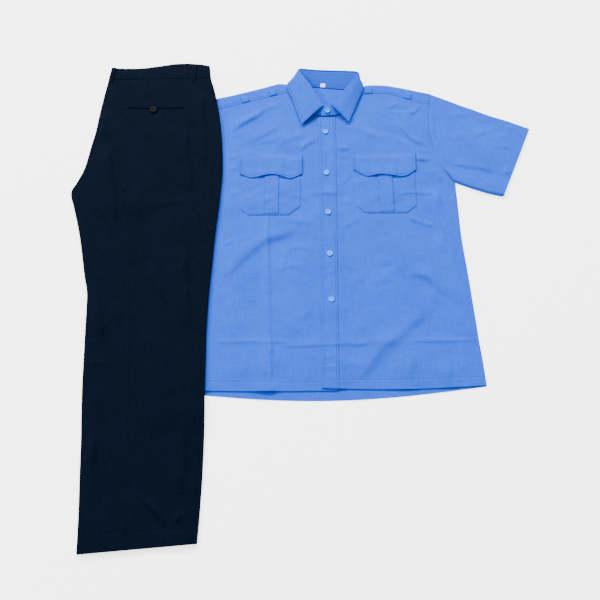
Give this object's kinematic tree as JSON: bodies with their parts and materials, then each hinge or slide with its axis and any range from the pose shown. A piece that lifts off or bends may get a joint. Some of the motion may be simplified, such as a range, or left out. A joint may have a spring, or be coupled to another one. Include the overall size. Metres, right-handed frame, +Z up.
{
  "type": "security guard uniform",
  "caption": "Short-sleeved blue uniform shirt with chest pockets and shoulder loops, laid flat beside navy trousers folded leg on leg, as a clothing set",
  "frame": {"origin": "centre of the laid-out set's footprint, on the surface it lies on", "axes": "+X to the picture's right (the wearer's left), +Y towards the collar and the waistband, +Z up from the surface"},
  "size_m": [1.0354, 1.1013, 0.0172],
  "materials": {
    "shirt_poplin": "matte plain-woven poly-cotton shirting",
    "shirt_button": "satin cast resin",
    "trouser_twill": "matte worsted-look twill",
    "trouser_button": "satin cast resin",
    "label_tape": "smooth woven tape, bare"
  },
  "bodies": {
    "root": {"back_pocket_button": "trouser_button", "back_pocket_welt_lower": "trouser_twill", "back_pocket_welt_upper": "trouser_twill", "belt_loop_centre_back": "trouser_twill", "belt_loop_side_back": "trouser_twill", "collar_button": "shirt_button", "collar_fall": "shirt_poplin", "collar_stand": "shirt_poplin", "shirt_back": "shirt_poplin", "shirt_button_1": "shirt_button", "shirt_button_2": "shirt_button", "shirt_button_3": "shirt_button", "shirt_button_4": "shirt_button", "shirt_button_5": "shirt_button", "shirt_flap_left": "shirt_poplin", "shirt_flap_right": "shirt_poplin", "shirt_front_left": "shirt_poplin", "shirt_front_right": "shirt_poplin", "shirt_placket": "shirt_poplin", "shirt_pleat_left": "shirt_poplin", "shirt_pleat_right": "shirt_poplin", "shirt_pocket_left": "shirt_poplin", "shirt_pocket_right": "shirt_poplin", "shirt_size_label": "label_tape", "shirt_sleeve_left": "shirt_poplin", "shirt_sleeve_right": "shirt_poplin", "shirt_yoke": "shirt_poplin", "shoulder_loop_inner_left": "shirt_poplin", "shoulder_loop_inner_right": "shirt_poplin", "shoulder_loop_outer_left": "shirt_poplin", "shoulder_loop_outer_right": "shirt_poplin", "trousers_hidden_layers": "trouser_twill", "trousers_right_back": "trouser_twill", "trousers_right_front": "trouser_twill", "trousers_waistband": "trouser_twill"}
  },
  "joints": []
}
